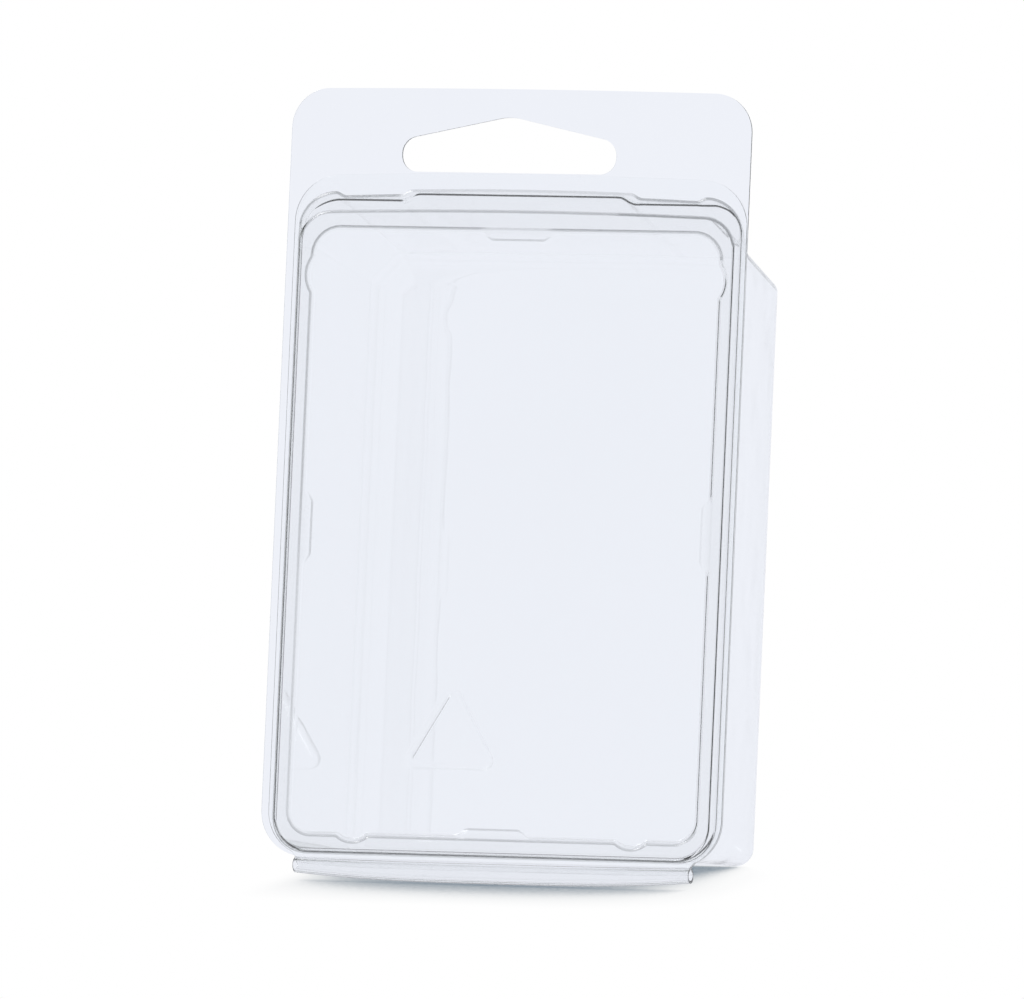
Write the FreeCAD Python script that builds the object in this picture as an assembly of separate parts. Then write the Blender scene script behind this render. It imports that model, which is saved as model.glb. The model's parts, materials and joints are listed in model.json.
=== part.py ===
import FreeCAD, Part
import math
import os

from FreeCAD import Vector

# Clear clamshell pack, thermoformed from one sheet: a deep back tray with a hanging header, a
# shallow front lid, and the rounded living hinge that joins them along the foot. The sheet is cut
# in two along the crease of the hinge, so that the lid can turn: each half keeps its own leaf.
#
# Everything is drawn in the pack's own frame: X to the right, Y from the lid towards the back of
# the tray, Z up the flanges, with the origin on the closing plane at the foot of the flanges. At
# the end the closed pack is leaned back until it stands on its hinge and on the tray's rear edge.
# All sizes are in millimetres.

# Sheet
SHEET = 0.4             # wall of both halves
CLOSING_GAP = 0.1       # air between the two flanges when closed

# Tray flange, with the header that stands above the lid
TRAY_WIDTH = 68.2
TRAY_HEIGHT = 110.0
HEADER_HEIGHT = 12.2    # from the lid's top edge to the tray's
HEADER_BOW = 0.3        # how far the top edge arches
HEADER_CORNER = 5.5
FOOT_CORNER = 6.5       # lower corners of both flanges

# Lid flange
LID_SIDE_MARGIN = 0.6   # the lid is narrower than the tray by this much on each side
LID_BOW = 0.6
LID_CORNER = 6.5
LID_SHIFT = 0.6         # the lid closes this far to the right of the tray
LID_WIDTH = TRAY_WIDTH - 2 * LID_SIDE_MARGIN
LID_TOP = TRAY_HEIGHT - HEADER_HEIGHT

# Hanging hole in the header
HOLE_ABOVE_LID = 0.2    # from the lid's top edge to the hole's flat lower edge
HOLE_WIDTH = 31.75
HOLE_END_HEIGHT = 4.6   # height of its ends, before they are rounded
HOLE_PEAK_HEIGHT = 8.1
HOLE_END_RADIUS = 2.45
HOLE_PEAK_RADIUS = 4.0
HOLE_OFFSET = -1.6      # the hole is punched a little left of the middle
HOLE_FOOT = LID_TOP + HOLE_ABOVE_LID

# Tray pocket, outer faces: its mouth is in the flange, and its walls lean in towards the back
POCKET_DEPTH = 32.8     # from the closing plane to the outside of the back wall
MOUTH_SIDE_MARGIN = 1.6
MOUTH_FOOT = 0.8
MOUTH_BELOW_LID = 3.2   # from the lid's top edge to the mouth's
SIDE_LEAN = 2.25        # how far each wall leans in over the depth
FLOOR_LEAN = 1.2
ROOF_LEAN = 5.9
POCKET_TOP_CORNER = 6.0
CORNER_OVER_EDGE = 0.4  # the lower corners are this much rounder than the back edge
BACK_EDGE_RADIUS = 4.0
MOUTH_RADIUS = 0.5      # where the pocket's walls turn into the flange
MOUTH_WIDTH = TRAY_WIDTH - 2 * MOUTH_SIDE_MARGIN
MOUTH_TOP = LID_TOP - MOUTH_BELOW_LID
BACK_WIDTH = MOUTH_WIDTH - 2 * SIDE_LEAN
BACK_FOOT = MOUTH_FOOT + FLOOR_LEAN
BACK_TOP = MOUTH_TOP - ROOF_LEAN
POCKET_FOOT_CORNER = BACK_EDGE_RADIUS + CORNER_OVER_EDGE

# Raised triangle on the back wall, in place of a material mark
MARK_RADIUS = 9.0       # from its centre to its corners, before they are rounded
MARK_BAND = 1.3
MARK_RISE = 0.25
MARK_ROUNDING = 1.6
MARK_FROM_SIDE = 13.8   # its centre, from the left side and the foot of the back wall
MARK_FROM_FOOT = 17.2
MARK_X = MARK_FROM_SIDE - BACK_WIDTH / 2
MARK_Z = MARK_FROM_FOOT + BACK_FOOT

# Low dome of the lid, outer faces
DOME_RISE = 1.7
DOME_SIDE_MARGIN = 0.75
DOME_FOOT = 0.6
DOME_TOP_MARGIN = 3.0
DOME_CORNER = 5.0
DOME_SIDE_LEAN = 0.55   # how far each wall leans in over the rise
DOME_TOP_LEAN = 2.3
DOME_FOOT_LEAN = 1.3
DOME_EDGE_RADIUS = 0.45
DOME_WIDTH = LID_WIDTH - 2 * DOME_SIDE_MARGIN
DOME_TOP = LID_TOP - DOME_TOP_MARGIN

# Two shallow scoops in the dome's upper wall
SCOOP_FROM_SIDE = 10.85
SCOOP_WIDTH = 10.0
SCOOP_DEPTH = 0.7
SCOOP_OFFSET = DOME_WIDTH / 2 - SCOOP_FROM_SIDE

# Sunken face of the lid
FACE_MARGIN = 2.4       # from the dome's sides and foot
FACE_TOP_MARGIN = 4.8
FACE_STEP = 0.6
FACE_CORNER = 4.0
FACE_WIDTH = DOME_WIDTH - 2 * FACE_MARGIN
FACE_FOOT = DOME_FOOT + FACE_MARGIN
FACE_TOP = DOME_TOP - FACE_TOP_MARGIN

# Raised tabs that reach into the face at the middle of each side
TAB_WIDTH = 10.5
TAB_REACH = 1.3
TAB_TAPER = 1.0

# Half-round bays that reach out of the face, two at its sides and two at its foot
LOBE_WIDTH = 4.6
LOBE_REACH = 0.9
SIDE_LOBE_FROM_TOP = 7.5
FOOT_LOBE_FROM_SIDE = 9.75
SIDE_LOBE_HEIGHT = FACE_TOP - SIDE_LOBE_FROM_TOP
FOOT_LOBE_OFFSET = FACE_WIDTH / 2 - FOOT_LOBE_FROM_SIDE

# Living hinge
HINGE_END_MARGIN = 4.25  # from the lid's sides to the hinge's ends
LOOP_RADIUS = 1.25       # middle of the sheet
NECK_RADIUS = 0.8        # middle of the sheet, where a flange turns into the loop
HINGE_LENGTH = LID_WIDTH - 2 * HINGE_END_MARGIN
HINGE_ROOT = min(MOUTH_FOOT, DOME_FOOT)  # how far it runs up into the flanges

HALF_GAP = CLOSING_GAP / 2
HALF_SHEET = SHEET / 2
FLANGE_MIDDLE = HALF_GAP + HALF_SHEET
LOOP_DROP = math.sqrt((NECK_RADIUS + LOOP_RADIUS) ** 2 - (FLANGE_MIDDLE + NECK_RADIUS) ** 2)
CREASE_Z = -(LOOP_DROP + LOOP_RADIUS + HALF_SHEET)


def outline(y, middle, half, low, high, bow=0.0):
    """Four-sided outline across the pack at depth y, with its top edge arched by bow."""
    foot_left = Vector(middle - half, y, low)
    foot_right = Vector(middle + half, y, low)
    top_right = Vector(middle + half, y, high - bow)
    top_left = Vector(middle - half, y, high - bow)
    if bow:
        top = Part.Arc(top_right, Vector(middle, y, high), top_left).toShape()
    else:
        top = Part.makeLine(top_right, top_left)
    foot = Part.makeLine(foot_left, foot_right)
    right = Part.makeLine(foot_right, top_right)
    left = Part.makeLine(top_left, foot_left)
    return Part.Wire([foot, right, top, left])


def rounded_outline(y, middle, half, low, high, radius):
    """Rectangle across the pack at depth y, with its four corners rounded."""
    centres = [
        (middle + half - radius, low + radius, -90),
        (middle + half - radius, high - radius, 0),
        (middle - half + radius, high - radius, 90),
        (middle - half + radius, low + radius, 180),
    ]
    arcs = []
    for x, z, start in centres:
        angles = [math.radians(start + turn) for turn in (0, 45, 90)]
        arcs.append([Vector(x + radius * math.cos(a), y, z + radius * math.sin(a)) for a in angles])
    edges = []
    for this, following in zip(arcs, arcs[1:] + arcs[:1]):
        edges.append(Part.Arc(*this).toShape())
        edges.append(Part.makeLine(this[2], following[0]))
    return Part.Wire(edges)


def plate(wire, depth):
    return Part.Face(wire).extrude(Vector(0, depth, 0))


def polygon_plate(points, y, depth):
    """Plate between y and y + depth from (x, z) points."""
    corners = [Vector(x, y, z) for x, z in points]
    return plate(Part.makePolygon(corners + corners[:1]), depth)


def edges_through(solid):
    """Edges that run from front to back."""
    return [e for e in solid.Edges if abs(e.Vertexes[0].Y - e.Vertexes[-1].Y) > 1e-6]


def edges_at(solid, y):
    """Edges that lie in the plane at depth y."""
    return [e for e in solid.Edges if abs(e.BoundBox.YMin - y) < 1e-5 and abs(e.BoundBox.YMax - y) < 1e-5]


def round_corners(solid, radius, foot_radius=None):
    """Round the edges that run front to back, the lower ones with foot_radius if it is given."""
    if foot_radius is None:
        return solid.makeFillet(radius, edges_through(solid))
    middle = solid.BoundBox.Center.z
    upper = [e for e in edges_through(solid) if e.BoundBox.ZMin > middle]
    lower = [e for e in edges_through(solid) if e.BoundBox.ZMax < middle]
    return solid.makeFillet(radius, upper).makeFillet(foot_radius, lower)


def flange(middle, width, top, bow, top_corner, y):
    """Flat flange with its front face at y."""
    blank = plate(outline(y, middle, width / 2, 0, top, bow), SHEET)
    return round_corners(blank, top_corner, FOOT_CORNER)


def pocket(inset):
    """Solid of the pocket's outer form, with every wall moved in by inset."""
    def section(y):
        along = y / POCKET_DEPTH
        half = (MOUTH_WIDTH + (BACK_WIDTH - MOUTH_WIDTH) * along) / 2
        foot = MOUTH_FOOT + (BACK_FOOT - MOUTH_FOOT) * along
        top = MOUTH_TOP + (BACK_TOP - MOUTH_TOP) * along
        return outline(y, 0, half - inset, foot + inset, top - inset)

    back = POCKET_DEPTH - inset
    blank = Part.makeLoft([section(HALF_GAP), section(back)], True, True)
    rounded = round_corners(blank, POCKET_TOP_CORNER - inset, POCKET_FOOT_CORNER - inset)
    return rounded.makeFillet(BACK_EDGE_RADIUS - inset, edges_at(rounded, back))


def mark_triangle(radius, rounding, y, depth):
    points = []
    for turn in (90, 210, 330):
        angle = math.radians(turn)
        points.append((MARK_X + radius * math.cos(angle), MARK_Z + radius * math.sin(angle)))
    return round_corners(polygon_plate(points, y, depth), rounding)


def mark_band(width, y, depth):
    """Triangular band of the given width, centred on the middle line of the mark's own band."""
    grow = width / 2 - MARK_BAND / 2
    outer = mark_triangle(MARK_RADIUS + 2 * grow, MARK_ROUNDING + grow, y, depth)
    inner_radius = MARK_RADIUS - 2 * (MARK_BAND + grow)
    inner = mark_triangle(inner_radius, MARK_ROUNDING / 3, y, depth)
    return outer.cut(inner)


def hanging_hole():
    half = HOLE_WIDTH / 2
    ends = HOLE_FOOT + HOLE_END_HEIGHT
    points = [
        (HOLE_OFFSET - half, HOLE_FOOT),
        (HOLE_OFFSET + half, HOLE_FOOT),
        (HOLE_OFFSET + half, ends),
        (HOLE_OFFSET, HOLE_FOOT + HOLE_PEAK_HEIGHT),
        (HOLE_OFFSET - half, ends),
    ]
    blank = polygon_plate(points, -SHEET, 3 * SHEET)
    peak = [e for e in edges_through(blank) if abs(e.Vertexes[0].X - HOLE_OFFSET) < 1e-6]
    rounded = blank.makeFillet(HOLE_PEAK_RADIUS, peak)
    ends = [e for e in edges_through(rounded) if abs(abs(e.Vertexes[0].X - HOLE_OFFSET) - half) < 1e-6]
    return rounded.makeFillet(HOLE_END_RADIUS, ends)


def arc(centre, radius, start, end):
    """Arc in the plane X = 0 about centre (y, z), between two angles measured from +Y to +Z."""
    points = []
    for angle in (start, (start + end) / 2, end):
        y = centre[0] + radius * math.cos(angle)
        z = centre[1] + radius * math.sin(angle)
        points.append(Vector(0, y, z))
    return Part.Arc(*points).toShape()


def hinge_leaf():
    """The tray's half of the hinge: a root in the flange, a neck, then half a loop."""
    neck = (FLANGE_MIDDLE + NECK_RADIUS, 0.0)
    loop = (0.0, -LOOP_DROP)
    leaving = math.atan2(-LOOP_DROP, -neck[0]) + 2 * math.pi
    entering = leaving - math.pi
    neck_near = arc(neck, NECK_RADIUS - HALF_SHEET, math.pi, leaving)
    neck_far = arc(neck, NECK_RADIUS + HALF_SHEET, math.pi, leaving)

    def to_crease(radius):
        return arc(loop, radius, entering, -math.pi / 2 + math.asin(HALF_GAP / radius))

    loop_outer = to_crease(LOOP_RADIUS + HALF_SHEET)
    loop_inner = to_crease(LOOP_RADIUS - HALF_SHEET)

    def lowest(edge):
        return min((v.Point for v in edge.Vertexes), key=lambda point: point.z)

    crease = Part.makeLine(lowest(loop_outer), lowest(loop_inner))
    seam = Part.makeLine(Vector(0, HALF_GAP, 0), Vector(0, HALF_GAP + SHEET, 0))
    edges = [seam, neck_near, loop_outer, crease, loop_inner, neck_far]
    section = Part.Wire(Part.__sortEdges__(edges))
    leaf = Part.Face(section).extrude(Vector(HINGE_LENGTH, 0, 0))
    leaf = leaf.fuse(Part.makeBox(HINGE_LENGTH, SHEET, HINGE_ROOT, Vector(0, HALF_GAP, 0)))
    leaf.translate(Vector(LID_SHIFT - HINGE_LENGTH / 2, 0, 0))
    return leaf


def mouth_edges(body):
    """Edges round the pocket's mouth in the flange's front face."""
    front = [f for f in body.Faces if abs(f.BoundBox.YMax - HALF_GAP) < 1e-5][0]
    mouth = [w for w in front.Wires if not w.isSame(front.OuterWire)][0]
    return mouth.Edges


def make_tray():
    body = flange(0, TRAY_WIDTH, TRAY_HEIGHT, HEADER_BOW, HEADER_CORNER, HALF_GAP)
    body = body.fuse(pocket(0)).cut(pocket(SHEET)).removeSplitter()
    body = body.makeFillet(MOUTH_RADIUS, mouth_edges(body))
    body = body.cut(hanging_hole())
    inner_back = POCKET_DEPTH - SHEET
    body = body.fuse(mark_band(MARK_BAND, POCKET_DEPTH - HALF_SHEET, HALF_SHEET + MARK_RISE))
    body = body.cut(mark_band(MARK_BAND / 2, inner_back - SHEET, SHEET + MARK_RISE))
    return body.fuse(hinge_leaf()).removeSplitter()


def dome(front_of_flange, inset):
    """Solid of the dome that stands on the plane y = front_of_flange, walls moved in by inset."""
    half = DOME_WIDTH / 2 - inset
    foot = DOME_FOOT + inset
    top = DOME_TOP - inset
    crest = front_of_flange - DOME_RISE
    radius = DOME_CORNER - inset
    low = rounded_outline(front_of_flange, LID_SHIFT, half, foot, top, radius)
    high = rounded_outline(
        crest,
        LID_SHIFT,
        half - DOME_SIDE_LEAN,
        foot + DOME_FOOT_LEAN,
        top - DOME_TOP_LEAN,
        radius - DOME_SIDE_LEAN,
    )
    solid = Part.makeLoft([low, high], True, True)
    solid = solid.makeFillet(max(DOME_EDGE_RADIUS - inset, 0.05), edges_at(solid, crest))
    for side in (-1, 1):
        solid = solid.cut(scoop(side, front_of_flange, inset))
    return solid


def scoop(side, front_of_flange, inset):
    """Wedge that steepens the dome's upper wall over a short width."""
    width = SCOOP_WIDTH + 2 * inset
    crest = front_of_flange - DOME_RISE
    top = DOME_TOP - inset
    beyond = DOME_TOP + 1
    section = Part.makePolygon([
        Vector(0, front_of_flange, top - SCOOP_DEPTH),
        Vector(0, front_of_flange, beyond),
        Vector(0, crest, beyond),
        Vector(0, crest, top - DOME_TOP_LEAN),
        Vector(0, front_of_flange, top - SCOOP_DEPTH),
    ])
    wedge = Part.Face(section).extrude(Vector(width, 0, 0))
    wedge.translate(Vector(LID_SHIFT + side * SCOOP_OFFSET - width / 2, 0, 0))
    return wedge


def face_block(y, depth, grow):
    """The sunken face as a solid, its outline grown outwards by grow."""
    half = FACE_WIDTH / 2 + grow
    foot = FACE_FOOT - grow
    top = FACE_TOP + grow
    block = plate(outline(y, LID_SHIFT, half, foot, top), depth)
    block = round_corners(block, FACE_CORNER + grow)
    reach = LOBE_REACH + grow
    radius = (LOBE_WIDTH ** 2 / 4 + LOBE_REACH ** 2) / (2 * LOBE_REACH) + grow
    lobes = [
        (LID_SHIFT - half + radius - reach + grow, SIDE_LOBE_HEIGHT),
        (LID_SHIFT + half - radius + reach - grow, SIDE_LOBE_HEIGHT),
        (LID_SHIFT - FOOT_LOBE_OFFSET, foot + radius - reach + grow),
        (LID_SHIFT + FOOT_LOBE_OFFSET, foot + radius - reach + grow),
    ]
    for x, z in lobes:
        block = block.fuse(Part.makeCylinder(radius, depth, Vector(x, y, z), Vector(0, 1, 0)))
    for tab in face_tabs(y, depth, grow):
        block = block.cut(tab)
    return block


def face_tabs(y, depth, grow):
    """Four tapered tabs that bite into the face, each made smaller by grow."""
    wide = TAB_WIDTH / 2 - grow
    narrow = wide - TAB_TAPER
    reach = TAB_REACH - grow
    out = grow + SHEET
    shape = [(-wide, -out), (wide, -out), (wide, 0), (narrow, reach), (-narrow, reach), (-wide, 0)]
    middle_z = (FACE_FOOT + FACE_TOP) / 2
    sides = [
        (LID_SHIFT, FACE_FOOT, 0),
        (LID_SHIFT + FACE_WIDTH / 2, middle_z, 90),
        (LID_SHIFT, FACE_TOP, 180),
        (LID_SHIFT - FACE_WIDTH / 2, middle_z, 270),
    ]
    tabs = []
    for x, z, turn in sides:
        cosine = math.cos(math.radians(turn))
        sine = math.sin(math.radians(turn))
        points = [(x + a * cosine - b * sine, z + a * sine + b * cosine) for a, b in shape]
        tabs.append(polygon_plate(points, y, depth))
    return tabs


def make_lid():
    front = -HALF_GAP - SHEET
    crest = front - DOME_RISE
    body = flange(LID_SHIFT, LID_WIDTH, LID_TOP, LID_BOW, LID_CORNER, front)
    body = body.fuse(dome(front, 0)).cut(face_block(crest, FACE_STEP, 0))
    hollow = dome(-HALF_GAP, SHEET)
    hollow = hollow.cut(face_block(crest + SHEET, FACE_STEP, SHEET))
    leaf = hinge_leaf().mirror(Vector(0, 0, 0), Vector(0, 1, 0))
    return body.cut(hollow).fuse(leaf).removeSplitter()


def lean_angle():
    """Angle in degrees that puts the hinge and the tray's rear lower edge on one level."""
    slope = FLOOR_LEAN / POCKET_DEPTH
    edge_y = POCKET_DEPTH - BACK_EDGE_RADIUS
    edge_z = MOUTH_FOOT + slope * edge_y + BACK_EDGE_RADIUS * math.sqrt(1 + slope ** 2)
    rise = edge_z + LOOP_DROP
    apart = math.hypot(edge_y, rise)
    loop_outside = LOOP_RADIUS + HALF_SHEET
    return math.degrees(math.atan2(rise, edge_y) - math.asin((BACK_EDGE_RADIUS - loop_outside) / apart))


os.makedirs("parts", exist_ok=True)

halves = {"back_tray": make_tray(), "front_lid": make_lid()}
lean = lean_angle()
for shape in halves.values():
    shape.rotate(Vector(0, 0, 0), Vector(1, 0, 0), -lean)

box = Part.makeCompound(list(halves.values())).optimalBoundingBox(False, False)
to_origin = Vector(-box.Center.x, -box.Center.y, -box.ZMin)
for name, shape in halves.items():
    shape.translate(to_origin)
    shape.exportStep(f"parts/{name}.step")
    print(name, "solids", len(shape.Solids), "valid", shape.isValid(), "volume", round(shape.Volume, 1))

crease = FreeCAD.Rotation(Vector(1, 0, 0), -lean).multVec(Vector(LID_SHIFT, 0, CREASE_Z)) + to_origin
print("lean", round(lean, 3), "size", [round(v, 3) for v in (box.XLength, box.YLength, box.ZLength)])
print("hinge crease", [round(v, 4) for v in crease])
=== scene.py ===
# %% [markdown]
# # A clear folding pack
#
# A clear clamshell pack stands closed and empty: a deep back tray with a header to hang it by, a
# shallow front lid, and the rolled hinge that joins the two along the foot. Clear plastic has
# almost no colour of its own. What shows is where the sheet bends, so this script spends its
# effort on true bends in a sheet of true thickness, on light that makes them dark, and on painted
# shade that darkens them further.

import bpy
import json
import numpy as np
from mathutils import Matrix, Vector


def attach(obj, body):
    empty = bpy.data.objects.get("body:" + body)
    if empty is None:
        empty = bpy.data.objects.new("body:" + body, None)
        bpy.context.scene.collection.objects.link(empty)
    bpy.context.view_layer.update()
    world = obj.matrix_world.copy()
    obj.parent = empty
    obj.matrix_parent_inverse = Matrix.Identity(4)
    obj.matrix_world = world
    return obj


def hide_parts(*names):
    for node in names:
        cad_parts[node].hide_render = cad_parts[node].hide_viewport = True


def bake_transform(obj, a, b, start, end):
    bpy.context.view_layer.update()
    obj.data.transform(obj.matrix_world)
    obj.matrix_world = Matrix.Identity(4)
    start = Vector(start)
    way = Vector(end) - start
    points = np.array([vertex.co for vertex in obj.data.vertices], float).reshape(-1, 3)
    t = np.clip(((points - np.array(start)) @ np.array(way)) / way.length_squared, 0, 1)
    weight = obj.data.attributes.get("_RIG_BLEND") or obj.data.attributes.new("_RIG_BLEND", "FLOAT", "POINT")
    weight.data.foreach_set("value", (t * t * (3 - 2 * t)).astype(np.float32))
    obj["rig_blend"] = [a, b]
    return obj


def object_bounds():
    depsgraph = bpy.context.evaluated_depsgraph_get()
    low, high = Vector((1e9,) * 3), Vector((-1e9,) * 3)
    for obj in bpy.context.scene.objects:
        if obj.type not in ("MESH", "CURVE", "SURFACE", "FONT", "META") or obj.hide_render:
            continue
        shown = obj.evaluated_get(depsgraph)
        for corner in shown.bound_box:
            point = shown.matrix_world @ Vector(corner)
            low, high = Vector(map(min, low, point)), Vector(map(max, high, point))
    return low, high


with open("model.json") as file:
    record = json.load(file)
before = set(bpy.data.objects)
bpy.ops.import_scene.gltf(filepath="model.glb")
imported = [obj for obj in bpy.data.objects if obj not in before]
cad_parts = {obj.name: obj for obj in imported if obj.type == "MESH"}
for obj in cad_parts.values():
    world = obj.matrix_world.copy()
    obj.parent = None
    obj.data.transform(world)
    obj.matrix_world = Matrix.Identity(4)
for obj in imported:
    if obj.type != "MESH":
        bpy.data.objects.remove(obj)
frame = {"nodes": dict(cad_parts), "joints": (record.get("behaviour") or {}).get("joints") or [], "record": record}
cad_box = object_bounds()

# %% [markdown]
# ## The pack's own frame
#
# The closed pack leans back on its hinge, but it is far easier to draw upright. So everything is
# modelled in the pack's own frame: X to the right, Y from the lid towards the back of the tray, Z
# up the flanges, with zero on the plane where the halves meet, at the foot of the flanges. One
# matrix then leans the finished mesh back. Its angle comes from the tray's back wall and its
# place from the hinge, so the model can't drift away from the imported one.

# %% Lean and place
import json
import math

import bmesh
import bpy
from mathutils import Matrix, Vector

MM = 0.001
SHEET = 0.4 * MM
CLOSING_GAP = 0.1 * MM
LOOP_RADIUS = 1.25 * MM
NECK_RADIUS = 0.8 * MM

scene = bpy.context.scene
hinge_joint = frame["joints"][0]
crease = Vector(hinge_joint["pos_m"])
mounts = {mount["name"]: mount for mount in frame["record"]["mounts"]}
back_axis = Vector(mounts["tray_back"]["axis"])
lean = math.atan2(-back_axis.z, back_axis.y)

flange_y = CLOSING_GAP / 2 + SHEET / 2
loop_drop = math.sqrt((NECK_RADIUS + LOOP_RADIUS) ** 2 - (flange_y + NECK_RADIUS) ** 2)
crease_z = -(loop_drop + LOOP_RADIUS + SHEET / 2)
upright_crease = Vector((crease.x, 0, crease_z))
lean_back = Matrix.Translation(crease) @ Matrix.Rotation(-lean, 4, "X")
to_row = lean_back @ Matrix.Translation(-upright_crease)
print("leans back", round(math.degrees(lean), 2), "degrees")
print("the lid's middle is at x =", round(crease.x / MM, 2), "mm")

# %% Measure the halves upright
def upright_box(node):
    """Lowest and highest corner of a CAD node in the pack's own frame."""
    to_upright = to_row.inverted()
    points = [to_upright @ vertex.co for vertex in frame["nodes"][node].data.vertices]
    low = Vector([min(point[axis] for point in points) for axis in range(3)])
    high = Vector([max(point[axis] for point in points) for axis in range(3)])
    return low, high


tray_low, tray_high = upright_box("back_tray")
lid_low, lid_high = upright_box("front_lid")
for name, low, high in (("tray", tray_low, tray_high), ("lid", lid_low, lid_high)):
    print(name, "upright, mm:", [round(v / MM, 2) for v in (*low, *high)])

# %% [markdown]
# ## Camera
#
# A small pack seen from far away through a long lens keeps its sides almost parallel. A track-to
# constraint could aim the camera, but it can't roll it. So the camera stands 2.4 m off, a little
# to the right and a little above, and is turned: the three columns of its matrix are its right,
# up and back directions, with a slight roll.

# %% Camera
TURN = math.radians(16.80)
RISE = math.radians(5.30)
ROLL = math.radians(-0.33)
DISTANCE = 2.38
AIM_RIGHT = -2.94 * MM
AIM_UP = -3.09 * MM
LENS = 586.5
FAR_CLIP = 20

back = Vector((math.sin(TURN) * math.cos(RISE), -math.cos(TURN) * math.cos(RISE), math.sin(RISE)))
right = Vector((0, 0, 1)).cross(back).normalized()
up = back.cross(right)
aim = (Vector(cad_box[0]) + Vector(cad_box[1])) / 2 + AIM_RIGHT * right + AIM_UP * up
rolled_right = right * math.cos(ROLL) + up * math.sin(ROLL)
rolled_up = up * math.cos(ROLL) - right * math.sin(ROLL)

camera = bpy.data.objects.new("camera", bpy.data.cameras.new("camera"))
camera.data.lens = LENS
camera.data.clip_end = FAR_CLIP
placing = Matrix((rolled_right, rolled_up, back)).transposed().to_4x4()
placing.translation = aim + DISTANCE * back
camera.matrix_world = placing
scene.collection.objects.link(camera)
scene.camera = camera
scene.view_settings.view_transform = "Standard"
print("camera at", [round(v, 3) for v in placing.translation])

# %% [markdown]
# ## Outlines to build from
#
# Every wall of the pack runs between flat outlines with rounded corners. An outline starts as a
# few vertices and a face, and bevelling its vertices rounds them. A bevel is measured along the
# edges, so a corner of a given radius that isn't square needs the tangent's length instead. The
# helper hands back the flat face, which can then be inset, opened, or joined to the next one.

# %% Helper: a flat outline with rounded corners
# Two places count as one within TINY, and a cut moves to what lies within SNAP of it.
CORNER_STEPS = 14
TINY = 1e-7
SNAP = 1e-8


def rounded_face(bm, y, points, radii):
    """Flat face across the pack at depth y from (x, z) points, each corner with its own radius."""
    verts = [bm.verts.new((x, y, z)) for x, z in points]
    bm.faces.new(verts)
    reach = []
    for vert, radius in zip(verts, radii):
        to_others = [edge.other_vert(vert).co - vert.co for edge in vert.link_edges]
        reach.append(radius / math.tan(to_others[0].angle(to_others[1]) / 2))
    for vert, along in zip(verts, reach):
        rounded = bmesh.ops.bevel(
            bm, geom=[vert], affect="VERTICES", offset=along, offset_type="OFFSET",
            segments=CORNER_STEPS, profile=0.5, material=-1,
        )
    return rounded["verts"][0].link_faces[0]


def cut_top(bm, face, cuts):
    """Cuts an outline's top edge into short ones, so that it can be shaped."""
    top_edge = max(face.edges, key=lambda edge: sum(vert.co.z for vert in edge.verts))
    bmesh.ops.subdivide_edges(bm, edges=[top_edge], cuts=cuts)


def rectangle(bm, y, middle, half, low, high, foot_radius, top_radius):
    """Flat rounded rectangle across the pack at depth y."""
    points = [(middle - half, low), (middle + half, low), (middle + half, high), (middle - half, high)]
    return rounded_face(bm, y, points, [foot_radius, foot_radius, top_radius, top_radius])


probe = bmesh.new()
sample = rectangle(probe, 0, 0, 30 * MM, 0, 90 * MM, 4 * MM, 6 * MM)
print("a sample outline has", len(sample.verts), "vertices")
print("and an area of", round(sample.calc_area() / MM ** 2, 1), "mm2")
probe.free()

# %% [markdown]
# ## Collars beside the bends
#
# In a clear sheet the eye reads nothing but the bends, so a panel must stay dead flat right up to
# them. Smooth shading averages the normals round a vertex, and on a large triangle that tilt
# spreads across the whole panel. So each outline gets a collar, a narrow ring of quads inset from
# it, and the tilt stays inside the collar.

# %% Helpers: collars, walls, flat fillings and bends
COLLAR = 0.1 * MM


def collar(bm, face, width=COLLAR):
    """Insets the face, and returns the smaller face and the edges round the collar's outside."""
    inset = bmesh.ops.inset_region(
        bm, faces=[face], thickness=width, use_even_offset=True, use_boundary=True
    )
    inner = set(face.verts)
    ring = [edge for quad in inset["faces"] for edge in quad.edges]
    return face, [edge for edge in ring if inner.isdisjoint(edge.verts)]


def open_up(bm, face):
    """Takes the face away, keeps its edges and returns them."""
    edges = list(face.edges)
    bmesh.ops.delete(bm, geom=[face], context="FACES_ONLY")
    return edges


def fill(bm, *loops):
    """Fills the flat area between edge loops; a loop inside another becomes a hole."""
    edges = [edge for loop in loops for edge in loop]
    bmesh.ops.triangle_fill(bm, use_beauty=True, use_dissolve=False, edges=edges)


def wall(bm, near, far):
    """Quads from one loop to another that has as many edges."""
    bmesh.ops.bridge_loops(bm, edges=near + far)


def new_sheet():
    """Empty mesh for a piece of sheet, with a number per vertex for the painted shade on its bends."""
    bm = bmesh.new()
    bm.verts.layers.float.new("painted_bend_shade")
    return bm


def round_bend(bm, loop, reach, steps, painted_shade=lambda place: 0):
    """Rounds the bend along the loop, starting this far from it on both sides, and paints shade into its middle.
    """
    rounded = bmesh.ops.bevel(
        bm, geom=loop, affect="EDGES", offset=reach, offset_type="OFFSET",
        segments=steps, profile=0.5, material=-1,
    )
    layer = bm.verts.layers.float["painted_bend_shade"]
    strip = set(rounded["faces"])
    for vert in rounded["verts"]:
        if strip.issuperset(vert.link_faces):
            vert[layer] = painted_shade(vert.co / MM)


print("collars are", COLLAR / MM, "mm wide")

# %% [markdown]
# ## The back tray: flange
#
# The tray starts as a flat flange with two openings, the pocket's mouth and the hanging hole.
# The foot of the flange is squared off where the hinge leaves it. Everything is built as the
# middle of the sheet, because one Solidify at the end then gives every wall its true thickness.

# %% Tray flange: outline with an arched top and a squared foot
HINGE_HALF = 29.25 * MM
FLANGE_FOOT_CORNER = 6.5 * MM
FLANGE_TOP_CUTS = 40
TRAY_TOP_CORNER = 5.5 * MM
TRAY_BOW = 0.3 * MM
lid_middle = crease.x


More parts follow.
